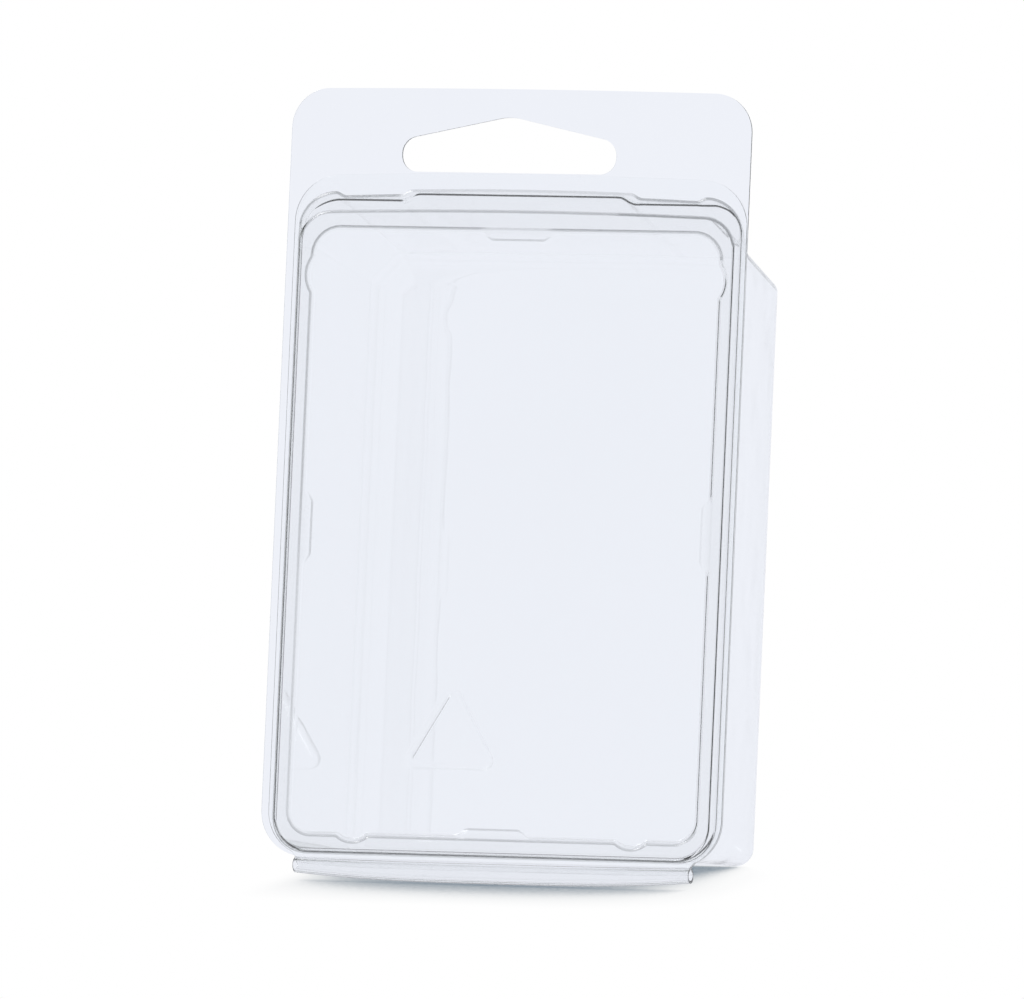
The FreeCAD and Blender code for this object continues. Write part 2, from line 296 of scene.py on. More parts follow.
def flange_outline(bm, y, middle, half, top, top_corner, bow):
    """Flange's flat outline: arched along its top, and square at its foot where the hinge leaves."""
    face = rectangle(bm, y, middle, half, 0, top, FLANGE_FOOT_CORNER, top_corner)
    cut_top(bm, face, FLANGE_TOP_CUTS)
    for end in (lid_middle - HINGE_HALF, lid_middle + HINGE_HALF):
        loop = list(face.edges) + list(face.verts)
        bmesh.ops.bisect_plane(bm, geom=loop, dist=SNAP, plane_co=(end, 0, 0), plane_no=(1, 0, 0))
    for vert in face.verts:
        if vert.co.z > top / 2:
            vert.co.z -= bow * min(1, ((vert.co.x - middle) / half) ** 2)
        elif abs(vert.co.x - lid_middle) < HINGE_HALF + TINY:
            vert.co.z = 0
    return face


tray = new_sheet()
tray_flange = flange_outline(
    tray, flange_y, 0, tray_high.x, tray_high.z, TRAY_TOP_CORNER, TRAY_BOW
)
tray_flange, tray_rim = collar(tray, tray_flange)
tray_inside = open_up(tray, tray_flange)
print("tray flange rim has", len(tray_rim), "edges")

# %% [markdown]
# ## The hanging hole
#
# The hole is punched, so its edge is as sharp as the flange's: flat below, rounded at its ends,
# and peaked in the middle to centre the pack on its peg. A boolean could punch it too, but would
# leave uneven faces round it. Here a slightly larger outline makes the collar, and insetting it
# gives the hole itself.

# %% Tray flange: hanging hole
HOLE_CENTRE = -1.6 * MM
HOLE_ABOVE_LID = 0.2 * MM
HOLE_WIDTH = 31.75 * MM
HOLE_SHOULDER = 4.6 * MM
HOLE_PEAK = 8.1 * MM
HOLE_END_RADIUS = 2.45 * MM
HOLE_PEAK_RADIUS = 6.0 * MM
hole_foot = lid_high.z + HOLE_ABOVE_LID

reach = HOLE_WIDTH / 2 + COLLAR
shoulder_z = hole_foot + HOLE_SHOULDER + COLLAR
hole_points = [
    (HOLE_CENTRE - reach, hole_foot - COLLAR),
    (HOLE_CENTRE + reach, hole_foot - COLLAR),
    (HOLE_CENTRE + reach, shoulder_z),
    (HOLE_CENTRE, hole_foot + HOLE_PEAK + COLLAR),
    (HOLE_CENTRE - reach, shoulder_z),
]
hole_radii = [HOLE_END_RADIUS] * 3 + [HOLE_PEAK_RADIUS, HOLE_END_RADIUS]
hole = rounded_face(tray, flange_y, hole_points, hole_radii)
hole, hole_outside = collar(tray, hole)
hole_top = max(vert.co.z for vert in hole.verts)
open_up(tray, hole)
print("hanging hole is", round((hole_top - hole_foot) / MM, 2), "mm high in the middle")

# %% [markdown]
# ## The back tray: pocket
#
# The pocket is a deep box drawn back from its mouth. Its walls lean in a little, so that it leaves
# the mould, and its back edge is generously round, because a hot sheet thins and tears over a
# sharp one. Its upper corners are round at the mouth, and soon turn into flat slants. The mouth's
# top steps down to either side, where the lid has its scoops. A bevel can't round an edge by more
# than the corner it turns round, so the walls and the back edge are a stack of outlines instead,
# each a little deeper, the last ones following a quarter of a circle.

# %% Tray pocket: its sizes
HALF_SHEET = SHEET / 2
POCKET_DEPTH = 32.8 * MM
SLANT_DEPTH = 7 * MM
BACK_RADIUS = 3.8 * MM
BACK_STEPS = 12
SHARPEST = 0.6 * MM
MOUTH_BEND = 0.6 * MM
MOUTH_STEP = 1.0 * MM
STEP_START = 14.7 * MM
STEP_WIDTH = 2.6 * MM
POCKET_TOP_CUTS = 120
TOP_FADE = 15 * MM

# In mm: each size at the mouth, what turning into slants adds to it, and what the depth adds.
POCKET_SIZES = {
    "left": (-32.5, 0, 2.25),
    "right": (33.25, 0, -3.0),
    "low": (0.8, 0, 1.2),
    "high": (95.2, 0, -6.5),
    "left foot": (4.2, 0, -2.2),
    "right foot": (6.0, 0, -4.0),
    "left cut": (3.4, 1.8, -1.2),
    "right cut": (2.4, 3.9, -2.3),
    "left corner": (5.3, -3.5, -0.6),
    "right corner": (3.9, -2.1, -0.6),
}
print("the pocket has", len(POCKET_SIZES), "sizes that change with depth")

# %% Helpers: a smooth step, and a top let down by it
def glide(along):
    """0 before 0, 1 after 1, and an S between them."""
    along = min(1, max(0, along))
    return along * along * (3 - 2 * along)


def lower_top(face, top, drop):
    """Lets an outline's top down by drop(x), less and less over the TOP_FADE below it."""
    for vert in face.verts:
        share = glide((vert.co.z - top) / TOP_FADE + 1)
        vert.co.z -= share * drop(vert.co.x)


print("a quarter of the way, glide gives", glide(0.25))

# %% Tray pocket: its outline at any depth
def pocket_outline(bm, y, inset=0.0):
    """Pocket's outline in the middle of the sheet at depth y, moved in by inset."""
    along = y / POCKET_DEPTH
    slanted = glide(y / SLANT_DEPTH)
    size = {}
    for name, (at_mouth, by_slant, by_depth) in POCKET_SIZES.items():
        size[name] = (at_mouth + by_slant * slanted + by_depth * along) * MM
    left = size["left"] + HALF_SHEET + inset
    right = size["right"] - HALF_SHEET - inset
    low = size["low"] + HALF_SHEET + inset
    high = size["high"] - HALF_SHEET - inset
    left_cut = size["left cut"] - (2 - math.sqrt(2)) * inset
    right_cut = size["right cut"] - (2 - math.sqrt(2)) * inset
    points = [
        (left, low), (right, low), (right, high - right_cut), (right - right_cut, high),
        (left + left_cut, high), (left, high - left_cut),
    ]
    corners = ["left foot", "right foot", "right corner", "right corner", "left corner", "left corner"]
    face = rounded_face(bm, y, points, [max(size[corner] - inset, SHARPEST) for corner in corners])
    cut_top(bm, face, POCKET_TOP_CUTS)
    step = MOUTH_STEP * (1 - along)
    start = STEP_START - inset / 2
    lower_top(face, high, lambda x: step * glide((abs(x) - start) / STEP_WIDTH))
    return face


mouth = pocket_outline(tray, flange_y, -(MOUTH_BEND + COLLAR))
mouth, mouth_outside = collar(tray, mouth, MOUTH_BEND + COLLAR)
mouth_loop = open_up(tray, mouth)
print("pocket's mouth is", len(mouth_loop), "edges round")

# %% Tray pocket: walls and back, outline by outline
back_y = POCKET_DEPTH - HALF_SHEET
stack = [(step * MM, 0) for step in range(1, round(SLANT_DEPTH / MM) + 1)]
for step in range(BACK_STEPS + 1):
    turn = math.pi / 2 * step / BACK_STEPS
    stack.append((back_y - BACK_RADIUS * (1 - math.sin(turn)), BACK_RADIUS * (1 - math.cos(turn))))
loop = mouth_loop
for depth, inset in stack:
    pocket_back = pocket_outline(tray, depth, inset)
    next_loop = list(pocket_back.edges)
    wall(tray, loop, next_loop)
    if (depth, inset) != stack[-1]:
        open_up(tray, pocket_back)
    loop = next_loop
print("pocket has", len(stack), "outlines and is", round(back_y / MM, 2), "mm deep")

# %% Tray pocket: flange filled in, and the bend round the mouth
fill(tray, tray_inside, hole_outside, mouth_outside)
round_bend(tray, mouth_loop, MOUTH_BEND, 6)
print("tray has", len(tray.faces), "faces")

# %% [markdown]
# ## The raised mark
#
# Packs carry a small moulded triangle low on the back wall. Here it is a plain one. A bump in the
# plastic could draw it, but then the mesh would be flat there. So four outlines, foot, crest,
# crest and foot again, are joined by walls only a quarter of a millimetre high, with soft bends,
# and it shows as no more than a faint line through two sheets.

# %% Tray: raised triangle on the back wall
MARK_CENTRE = (-16.45 * MM, 19.2 * MM)
MARK_RADIUS = 9.2 * MM
MARK_CORNER = 1.8 * MM
MARK_RISE = 0.25 * MM
MARK_BAND = 1.3 * MM
MARK_OUTER_SLOPE = 0.5 * MM
MARK_INNER_SLOPE = 0.35 * MM
MARK_BEND = 0.1 * MM
MARK_COLLAR = 0.15 * MM
MARK_SHARPEST = 0.5 * MM
BACK_COLLAR = 0.25 * MM


def mark_outline(bm, y, inward):
    """Rounded triangle, moved inwards from the mark's outer foot."""
    radius = MARK_RADIUS - 2 * inward
    points = []
    for turn in (90, 210, 330):
        across = radius * math.cos(math.radians(turn))
        above = radius * math.sin(math.radians(turn))
        points.append((MARK_CENTRE[0] + across, MARK_CENTRE[1] + above))
    return rounded_face(bm, y, points, [max(MARK_CORNER - inward, MARK_SHARPEST)] * 3)


back_panel, _ = collar(tray, pocket_back, BACK_COLLAR)
back_inside = open_up(tray, back_panel)
outer_foot, outer_outside = collar(tray, mark_outline(tray, back_y, 0), MARK_COLLAR)
outer_loop = open_up(tray, outer_foot)
outer_crest = mark_outline(tray, back_y + MARK_RISE, MARK_OUTER_SLOPE)
wall(tray, outer_loop, list(outer_crest.edges))
inner_crest = mark_outline(tray, back_y + MARK_RISE, MARK_BAND - MARK_INNER_SLOPE)
crest_loops = [open_up(tray, outer_crest), open_up(tray, inner_crest)]
wall(tray, *crest_loops)
inner_foot = mark_outline(tray, back_y, MARK_BAND)
wall(tray, crest_loops[1], list(inner_foot.edges))
inner_foot, inner_loop = collar(tray, inner_foot, MARK_COLLAR)
fill(tray, back_inside, outer_outside)
for loop in (outer_loop, crest_loops[0], crest_loops[1], inner_loop):
    round_bend(tray, loop, MARK_BEND, 3)
mark_width = MARK_RADIUS * math.sqrt(3)
print("mark is", round(mark_width / MM, 1), "mm wide; tray has", len(tray.faces), "faces")

# %% [markdown]
# ## The living hinge
#
# The two halves are one sheet, rolled into a loop at the foot so that it folds again and again
# without cracking. Each half carries its own side of the roll, a neck that turns outwards and then
# the loop that turns back under. Spinning the foot's edges about the neck's axis and then about
# the loop's keeps the sheet in one piece from the flange to the crease.

# %% Helpers: spin a sheet, and cut the roll across
# Half the turn of the crease strip, the seam beside it, and the single last step of each leaf.
CREASE_HALF = math.radians(10)
SEAM = math.radians(0.9)
LAST_TURN = math.radians(5)
NECK_STEPS = 8
LOOP_STEPS = 16
ROLL_CUTS = 24


def spin_sheet(bm, edges, centre, turn, steps):
    """Sweeps edges about an axis along X through centre (y, z), and returns the new last edges."""
    verts = list(dict.fromkeys(vert for edge in edges for vert in edge.verts))
    swept = bmesh.ops.spin(
        bm, geom=edges + verts, cent=(0, *centre), axis=(1, 0, 0), angle=turn, steps=steps,
        use_merge=False, use_duplicate=False,
    )
    return [item for item in swept["geom_last"] if isinstance(item, bmesh.types.BMEdge)]


def cut_roll_across(bm):
    """Cuts the roll across in many places, so that it can bow, and close to its ends."""
    places = [HINGE_HALF * (2 * step / ROLL_CUTS - 1) for step in range(1, ROLL_CUTS)]
    for place in places + [COLLAR - HINGE_HALF, HINGE_HALF - COLLAR]:
        below = [face for face in bm.faces if face.calc_center_median().z < 0]
        around = list(dict.fromkeys(item for face in below for item in (*face.edges, *face.verts)))
        cut = (lid_middle + place, 0, 0)
        bmesh.ops.bisect_plane(bm, geom=below + around, dist=SNAP, plane_co=cut, plane_no=(1, 0, 0))


print("the roll is cut across in", ROLL_CUTS + 1, "places")

# %% Tray: its side of the hinge, spun from the flange's foot
def at_hinge(vert):
    """Whether a vertex stands on the flange's foot, where the hinge leaves it."""
    return abs(vert.co.z) < TINY and abs(vert.co.x - lid_middle) < HINGE_HALF + TINY


def hinge_side(bm, side):
    """Neck and half loop below a flange's foot; side is 1 for the tray and -1 for the lid."""
    rims = [edge for edge in bm.edges if edge.is_boundary]
    foot = [edge for edge in rims if all(at_hinge(vert) for vert in edge.verts)]
    neck_y = flange_y + NECK_RADIUS
    neck_turn = math.atan2(loop_drop, neck_y)
    neck = spin_sheet(bm, foot, (side * neck_y, 0), side * neck_turn, NECK_STEPS)
    loop_turn = neck_turn + math.pi / 2 - CREASE_HALF - SEAM - LAST_TURN
    loop = spin_sheet(bm, neck, (0, -loop_drop), -side * loop_turn, LOOP_STEPS)
    spin_sheet(bm, loop, (0, -loop_drop), -side * LAST_TURN, 1)
    cut_roll_across(bm)


hinge_side(tray, 1)
print("tray's leaf reaches down to", round(min(vert.co.z for vert in tray.verts) / MM, 3), "mm")

# %% [markdown]
# ## The front lid: flange and dome
#
# The lid's flange carries a low dome. Its side walls are steep, and its upper wall slopes, with
# two shallow scoops where a finger can get under it. Insetting and raising one face would be
# quicker, but then every wall would lean alike, so the dome's foot and its crest are outlines of
# their own. The scoops have no sharp ends on the real lid, because a hot sheet can't follow a
# sharp step, so the wall's foot glides down and up again.

# %% Lid: sizes of the dome and its scoops
DOME_HALF = 32.75 * MM
DOME_LOW = 0.45 * MM
DOME_HIGH = 95.45 * MM
DOME_RISE = 1.7 * MM
SIDE_LEAN = 0.55 * MM
FOOT_LEAN = 0.3 * MM
TOP_LEAN = 3.1 * MM
DOME_CORNER = 4.8 * MM
DOME_FOOT_CORNER = 5.2 * MM
DOME_ARCH = 0.9 * MM
CREST_ARCH = 0.55 * MM
DOME_TOP_CUTS = 160
SCOOP_AT = 21.9 * MM
SCOOP_HALF = 5.6 * MM
SCOOP_SLOPE = 1.6 * MM
SCOOP_DROP = 0.65 * MM
FOOT_BEND = 0.28 * MM
CREST_BEND = 0.24 * MM
LID_TOP_CORNER = 6.5 * MM
LID_BOW = 0.6 * MM
lid_y = -flange_y
crest_y = lid_y - DOME_RISE
print("dome rises", round(DOME_RISE / MM, 2), "mm, its scoops drop", round(SCOOP_DROP / MM, 2), "mm")

# %% Lid: flange, dome's foot with its scoops, and crest
def dome_outline(bm, y, lean, grow=0.0, scoop=0.0):
    """Dome's outline in the middle of the sheet.

    lean is 0 at its foot and 1 at its crest, and scoop is how far its top drops at the scoops.
    """
    def inset(wall_lean):
        return wall_lean * lean + HALF_SHEET * math.hypot(wall_lean, DOME_RISE) / DOME_RISE - grow

    half = DOME_HALF - inset(SIDE_LEAN)
    low = DOME_LOW + inset(FOOT_LEAN)
    high = DOME_HIGH - inset(TOP_LEAN)
    rounder = grow - SIDE_LEAN * lean
    face = rectangle(
        bm, y, lid_middle, half, low, high, DOME_FOOT_CORNER + rounder, DOME_CORNER + rounder
    )
    cut_top(bm, face, DOME_TOP_CUTS)
    for vert in face.verts:
        away = abs(abs(vert.co.x - lid_middle) - SCOOP_AT)
        if vert.co.z > high - TINY:
            vert.co.z -= scoop * glide((SCOOP_HALF - away) / SCOOP_SLOPE)
    arch = DOME_ARCH + (CREST_ARCH - DOME_ARCH) * lean
    lower_top(face, high, lambda x: arch * min(1, ((x - lid_middle) / half) ** 2))
    return face


lid = new_sheet()
lid_half = lid_high.x - lid_middle
lid_flange = flange_outline(
    lid, lid_y, lid_middle, lid_half, lid_high.z, LID_TOP_CORNER, LID_BOW
)
lid_flange, _ = collar(lid, lid_flange)
lid_inside = open_up(lid, lid_flange)
dome_foot = dome_outline(lid, lid_y, -HALF_SHEET / DOME_RISE, grow=FOOT_BEND + COLLAR, scoop=SCOOP_DROP)
dome_foot, dome_outside = collar(lid, dome_foot, FOOT_BEND + COLLAR)
foot_loop = open_up(lid, dome_foot)
fill(lid, lid_inside, dome_outside)
crest = dome_outline(lid, crest_y, 1 - HALF_SHEET / DOME_RISE)
crest_loop = list(crest.edges)
wall(lid, foot_loop, crest_loop)
crest, crest_loop = collar(lid, crest, CREST_BEND + COLLAR)
crest_inside = open_up(lid, crest)
print("dome's crest is", len(crest_inside), "edges round; lid has", len(lid.faces), "faces")

# %% [markdown]
# ## The lid's sunken face
#
# The face is sunk by little more than the sheet's thickness, which is enough to stiffen it. Small
# bays reach out of it, two at the sides and two at the foot. At the middle of each side a tab
# slopes down into it, so there the step's lower edge bites in while its upper edge runs straight
# on. Both are shapes along a straight side, so the side is cut finely and each vertex is pushed
# in or out by how far along the side it stands.

# %% Lid: sizes of the face, its tabs and its bays
FACE_MIDDLE = lid_middle + 0.15 * MM
FACE_HALF = 30.2 * MM
FACE_LOW = 3.1 * MM
FACE_HIGH = 89.65 * MM
FACE_CORNER = 4.0 * MM
FACE_FOOT_CORNER = 3.4 * MM
FACE_SIDE_CUTS = 230
FACE_STEP = 0.6 * MM
STEP_BEND = 0.2 * MM
PANEL_INSET = 0.55 * MM
SIDE_TABS = 46.8 * MM
TAB_BITE = 0.95 * MM
TAB_HALF = 5.25 * MM
TAB_SLOPE = 2.0 * MM
FOOT_BAYS = 20.6 * MM
FOOT_BAY_HALF = 2.3 * MM
FOOT_BAY_REACH = 0.85 * MM
SIDE_BAYS = 82.9 * MM
SIDE_BAY_HALF = 2.5 * MM
SIDE_BAY_REACH = 0.8 * MM
print("face is", round(2 * FACE_HALF / MM, 1), "mm wide, its tabs", round(2 * TAB_HALF / MM, 1), "mm")

# %% Helpers: tabs and bays along a side
def tab_bite(along, grow):
    """How far a tab bites into the face at this distance from the middle of a side."""
    return TAB_BITE * glide((TAB_HALF - grow - abs(along)) / TAB_SLOPE)


def bay_reach(along, half_width, reach, grow):
    """How far a round bay reaches out of the face at this distance from its middle."""
    radius = (half_width ** 2 + reach ** 2) / (2 * reach)
    inside = (radius + grow) ** 2 - along ** 2
    return max(0, math.sqrt(max(0, inside)) - (radius - reach) - grow)


print("a tab bites", round(tab_bite(0, 0) / MM, 2), "mm into the face")

# %% Lid: outline of the face, and the step round it
def face_outline(bm, y, grow, bite):
    """Outline of the sunken face at depth y, grown outwards; bite is how much of the tabs it shows."""
    low, high = FACE_LOW - grow, FACE_HIGH + grow
    face = rectangle(
        bm, y, FACE_MIDDLE, FACE_HALF + grow, low, high, FACE_FOOT_CORNER + grow, FACE_CORNER + grow
    )
    straight = [edge for edge in face.edges if edge.calc_length() > FACE_CORNER]
    bmesh.ops.subdivide_edges(bm, edges=straight, cuts=FACE_SIDE_CUTS)
    middle_z = (FACE_LOW + FACE_HIGH) / 2
    for vert in face.verts:
        across = vert.co.x - FACE_MIDDLE
        above = vert.co.z - middle_z
        if abs(across) < FACE_HALF - FACE_CORNER + SNAP:
            out = -bite * tab_bite(across, grow)
            if above < 0:
                out += bay_reach(abs(across) - FOOT_BAYS, FOOT_BAY_HALF, FOOT_BAY_REACH, grow)
            vert.co.z += math.copysign(1, above) * out
        elif abs(above) < middle_z - FACE_LOW - FACE_CORNER + SNAP:
            out = bay_reach(vert.co.z - SIDE_BAYS, SIDE_BAY_HALF, SIDE_BAY_REACH, grow)
            out -= bite * tab_bite(vert.co.z - SIDE_TABS, grow)
            vert.co.x += math.copysign(1, across) * out
    return face


step_top = face_outline(lid, crest_y, HALF_SHEET + STEP_BEND + COLLAR, 0)
step_top, step_outside = collar(lid, step_top, STEP_BEND + COLLAR)
step_top_loop = open_up(lid, step_top)
fill(lid, crest_inside, step_outside)
panel = face_outline(lid, crest_y + FACE_STEP, HALF_SHEET - PANEL_INSET, 1)
wall(lid, step_top_loop, list(panel.edges))
panel, step_low_loop = collar(lid, panel, STEP_BEND + COLLAR)
print("face is", len(panel.edges), "edges round; lid has", len(lid.faces), "faces")

# %% [markdown]
# ## Painted shade at the bends
#
# A hard bend in thick clear sheet carries light off sideways, and looks dark, while a soft one
# hardly shows. The oven and the mould make some bends of the same outline harder than others.
# Changing each radius would change the shape too, and a line painted in a texture would slide off
# its bend. So every vertex carries a number, and the plastic's colour is darkened by it: painted
# shade that stands in for the darkness light gives those bends. Places are in mm, in the pack's
# own frame, and the painted shade is 0 where the sheet is clear.

# %% Lid: painted shade on the dome's bends
# Heights in mm: a bend above the first of each pair is its top, one below the second its bottom.
DOME_TOP, DOME_BOTTOM = 90, 2
CREST_TOP, CREST_BOTTOM = 88, 3


def dome_foot_painted_shade(place):
    """Painted shade, dark in the scoops and in the middle of the bottom, where the dome's foot bends hardest."""
    in_scoops = glide(abs(place.x) - 17)
    in_bottom = glide((16 - abs(place.x + 2)) / 4)
    if place.z > DOME_TOP:
        return 0.22 + 0.28 * in_scoops
    if place.z < DOME_BOTTOM:
        return 0.12 + 0.88 * in_bottom
    return 0.1 if place.x < 0 else 0.2


def crest_painted_shade(place):
    """Painted shade on the crest, a softer bend: plain only along its top, and clear along its bottom."""
    on_the_right = glide(place.x - 15)
    above_bottom = glide((place.z - CREST_BOTTOM) / 5)
    if place.z > CREST_TOP:
        return 0.45 + 0.2 * on_the_right
    return 0.2 * above_bottom


print("the dome's crest is shaded", crest_painted_shade(Vector((0, 0, 92))), "along its top")

# %% Lid: painted shade on the step round the face
FACE_TOP, FACE_BOTTOM = 86, 5
FACE_RIGHT = 28


def step_painted_shade(place):
    """Painted shade on the upper edge of the step round the face, harder along its top, and soft over the tab
    there.
    """
    over_tab = glide((6 - abs(place.x - 0.75)) / 2)
    upwards = glide((place.z - 35) / 20)
    if place.z > FACE_TOP:
        return 0.55 - 0.3 * over_tab
    if place.z < FACE_BOTTOM:
        return 0.42
    return 0.1 if place.x > FACE_RIGHT else 0.3 + 0.15 * upwards


def tab_painted_shade(place):
    """Painted shade on the lower edge of the step, only where a tab slopes down to it."""
    across = place.x * MM - FACE_MIDDLE
    above = place.z * MM - SIDE_TABS
    strength = 0.1 if place.x > FACE_RIGHT else 0.3
    return strength * (tab_bite(across, 0) + tab_bite(above, 0)) / TAB_BITE


print("the step is shaded", round(step_painted_shade(Vector((20, 0, 90))), 2), "along its top")

# %% Lid: rounded bends, painted shade between them, and the hinge
RIM_PAINTED_SHADE = 0.055
CREST_FALL = 0.22 * MM
FALL_START = FACE_LOW - 0.5 * MM
FALL_HEIGHT = 1.6 * MM
face_y = crest_y + FACE_STEP
round_bend(lid, foot_loop, FOOT_BEND, 5, dome_foot_painted_shade)
round_bend(lid, crest_loop, CREST_BEND, 5, crest_painted_shade)
round_bend(lid, step_top_loop, STEP_BEND, 5, step_painted_shade)
round_bend(lid, step_low_loop, STEP_BEND, 5, tab_painted_shade)
layer = lid.verts.layers.float["painted_bend_shade"]
# Painted shade, a little darker, over the raised walls, crest and step, but not on the sunken face.
for vert in lid.verts:
    if vert.co.y < lid_y - TINY and abs(vert.co.y - face_y) > STEP_BEND:
        vert[layer] = max(vert[layer], RIM_PAINTED_SHADE)
for vert in lid.verts:
    share = (lid_y - vert.co.y) / DOME_RISE
    vert.co.y += CREST_FALL * share * glide((FALL_START - vert.co.z) / FALL_HEIGHT)
hinge_side(lid, -1)
lid_foot = min(vert.co.z for vert in lid.verts)
print("lid has", len(lid.faces), "faces and reaches down to", round(lid_foot / MM, 3), "mm")

# %% [markdown]
# ## The crease
#
# The last 20 degrees of the roll, right underneath, are where the sheet really folds. This strip
# follows the tray along one edge and the lid along the other and turns smoothly in between, so
# the hinge stays in one piece while the lid swings open.

# %% Crease strip under the roll
crease_strip = new_sheet()
radius_down = Vector((0, -LOOP_RADIUS, 0))
start_turn = Matrix.Rotation(math.pi / 2 + CREASE_HALF, 3, "X")
ends = []
for end in (-1, 1):
    point = start_turn @ radius_down + Vector((lid_middle + end * HINGE_HALF, 0, -loop_drop))
    ends.append(crease_strip.verts.new(point))
first = [crease_strip.edges.new(ends)]
spin_sheet(crease_strip, first, (0, -loop_drop), -2 * CREASE_HALF, 12)
cut_roll_across(crease_strip)
print("crease strip is", round(2 * CREASE_HALF * LOOP_RADIUS / MM, 2), "mm wide")

# %% [markdown]
# ## From sheet middle to finished shells
#
# Each mesh is leaned back by the one matrix, its normals are made to agree, and modifiers do the
# rest: Solidify gives the 0.4 mm wall, half to each side, and a tiny bevel takes the razor edge
# off the punched rims. Its angle limit leaves the rounded bends alone. Insetting lists its new
# faces in another order on each run, so they are sorted first, and each run gives the same mesh.

# %% Helpers: put a mesh in order, and finish it as a shell
ROLL_BOW = 0.3
ROLL_PAINTED_SHADE = 0.04
RIM_BEVEL = 0.04 * MM


def put_in_order(bm):
    """Sorts edges and faces by the vertices they join, which always come in the same order."""
    bm.verts.index_update()
    count = len(bm.verts)

    def rank(item):
        number = 0
        for index in sorted(vert.index for vert in item.verts)[:3]:
            number = number * count + index
        return number

    bm.edges.sort(key=rank)
    bm.faces.sort(key=rank)


def bow_roll(bm):
    """Draws the hinge's ends up a little, so that the roll bows down, and paints a slight shade over it all."""
    layer = bm.verts.layers.float["painted_bend_shade"]
    for vert in bm.verts:
        if vert.co.z < 0:
            vert.co.z *= 1 - ROLL_BOW * abs((vert.co.x - lid_middle) / HINGE_HALF) ** 3
            vert[layer] = ROLL_PAINTED_SHADE


def shell(name, bm):
    """Object made from a sheet drawn upright, with its thickness and its rims finished."""
    put_in_order(bm)
    bow_roll(bm)
    bm.transform(to_row)
    bmesh.ops.recalc_face_normals(bm, faces=bm.faces)
    mesh = bpy.data.meshes.new(name)
    bm.to_mesh(mesh)
    bm.free()
    mesh.shade_smooth()
    obj = bpy.data.objects.new(name, mesh)
    scene.collection.objects.link(obj)
    thickness = obj.modifiers.new("sheet thickness", "SOLIDIFY")
    thickness.thickness = SHEET
    thickness.offset = 0
    thickness.use_even_offset = True
    rims = obj.modifiers.new("punched rims", "BEVEL")
    rims.width = RIM_BEVEL
    rims.segments = 2
    rims.limit_method = "ANGLE"
    rims.angle_limit = math.radians(60)
    return obj


back_tray = shell("back_tray_shell", tray)
front_lid = shell("front_lid_shell", lid)
hinge_fold = shell("hinge_crease", crease_strip)
print("shells:", back_tray.name, front_lid.name, hinge_fold.name)

# %% [markdown]
# ## Clear sheet
#
# The plastic is a clear polyester with a high index, about 1.57. A transparent shader with a gloss
# on top would be quicker, but real refraction through a wall of true thickness is what draws the
# bends. A formed sheet is never quite flat either: it carries long, shallow waves from the oven
# and the mould, which a weak bump on object coordinates gives, and its faint tint drifts a little.
# Light for shadows passes straight through a plain transparent shader, so that the pack doesn't
# throw the black shadow of a solid.

# %% Material: clear plastic with shallow waves
def new_tree(owner):
    """Node tree of a material or world, emptied, with its nodes and links."""
    owner.use_nodes = True
    owner.node_tree.nodes.clear()
    return owner.node_tree.nodes, owner.node_tree.links


clear_sheet = bpy.data.materials.new("clear_sheet")
nodes, links = new_tree(clear_sheet)
plastic = nodes.new("ShaderNodeBsdfPrincipled")
plastic.inputs["Transmission Weight"].default_value = 1
plastic.inputs["IOR"].default_value = 1.57
plastic.inputs["Roughness"].default_value = 0.0

coordinates = nodes.new("ShaderNodeTexCoord")
waves = nodes.new("ShaderNodeTexNoise")
waves.inputs["Scale"].default_value = 90
waves.inputs["Detail"].default_value = 1.5
links.new(coordinates.outputs["Object"], waves.inputs["Vector"])
ripple = nodes.new("ShaderNodeBump")
ripple.inputs["Strength"].default_value = 0.12
ripple.inputs["Distance"].default_value = 0.0002
links.new(waves.outputs["Fac"], ripple.inputs["Height"])
links.new(ripple.outputs["Normal"], plastic.inputs["Normal"])
print("clear sheet index", round(plastic.inputs["IOR"].default_value, 2))

# %% Material: a faint tint, darkened by the painted shade at the bends
cast = nodes.new("ShaderNodeTexNoise")
cast.inputs["Scale"].default_value = 25
links.new(coordinates.outputs["Object"], cast.inputs["Vector"])
tint = nodes.new("ShaderNodeValToRGB")
tint.color_ramp.elements[0].position = 0.3
tint.color_ramp.elements[0].color = (0.978, 0.984, 0.986, 1)
tint.color_ramp.elements[1].position = 0.7
tint.color_ramp.elements[1].color = (0.984, 0.989, 0.992, 1)
links.new(cast.outputs["Fac"], tint.inputs["Fac"])
bend = nodes.new("ShaderNodeAttribute")
bend.attribute_name = "painted_bend_shade"
painted_shade_mix = nodes.new("ShaderNodeMix")
painted_shade_mix.data_type = "RGBA"
# Dark colour that the painted shade at the bends blends towards.
painted_shade_mix.inputs["B"].default_value = (0.10, 0.11, 0.11, 1)
links.new(bend.outputs["Fac"], painted_shade_mix.inputs["Factor"])
links.new(tint.outputs["Color"], painted_shade_mix.inputs["A"])
links.new(painted_shade_mix.outputs["Result"], plastic.inputs["Base Color"])
print("the tint follows", bend.attribute_name)

# %% Material: let light for shadows through, and dress the shells
passing = nodes.new("ShaderNodeBsdfTransparent")
passing.inputs["Color"].default_value = (0.96, 0.965, 0.97, 1)
ray = nodes.new("ShaderNodeLightPath")
choose = nodes.new("ShaderNodeMixShader")
links.new(ray.outputs["Is Shadow Ray"], choose.inputs["Fac"])
links.new(plastic.outputs["BSDF"], choose.inputs[1])
links.new(passing.outputs["BSDF"], choose.inputs[2])
surface = nodes.new("ShaderNodeOutputMaterial")
links.new(choose.outputs["Shader"], surface.inputs["Surface"])
for obj in (back_tray, front_lid, hinge_fold):
    obj.data.materials.append(clear_sheet)
print("dressed in", clear_sheet.name)

# %% [markdown]
# ## What moves with what
#
# The tray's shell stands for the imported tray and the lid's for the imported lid. The crease strip
# belongs to both, and blends across the closing plane within a fraction of a millimetre.

